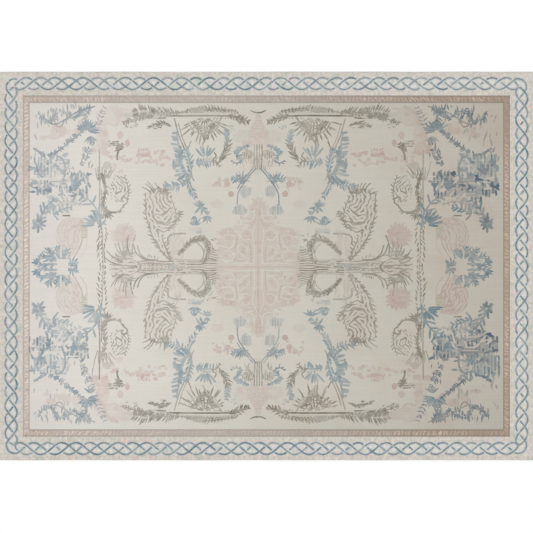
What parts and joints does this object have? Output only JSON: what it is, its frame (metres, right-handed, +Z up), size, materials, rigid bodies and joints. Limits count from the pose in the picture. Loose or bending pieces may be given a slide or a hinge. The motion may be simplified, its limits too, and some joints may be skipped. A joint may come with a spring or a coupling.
{
  "type": "flat-woven floor rug",
  "caption": "Large rectangular flat-woven floor rug with a faded garden medallion pattern and a braided border, lying flat.",
  "frame": {"origin": "on the floor, under the middle of the rug", "axes": "+X along the long side, towards the picture's right; +Y towards the picture's top edge; +Z up"},
  "size_m": [3.3528, 2.4384, 0.006],
  "materials": {
    "wool": "matt ribbed wool weave in cream and beige, with worn blue, grey-green and dusty pink motifs"
  },
  "bodies": {
    "root": {"rug": "wool"}
  },
  "joints": []
}
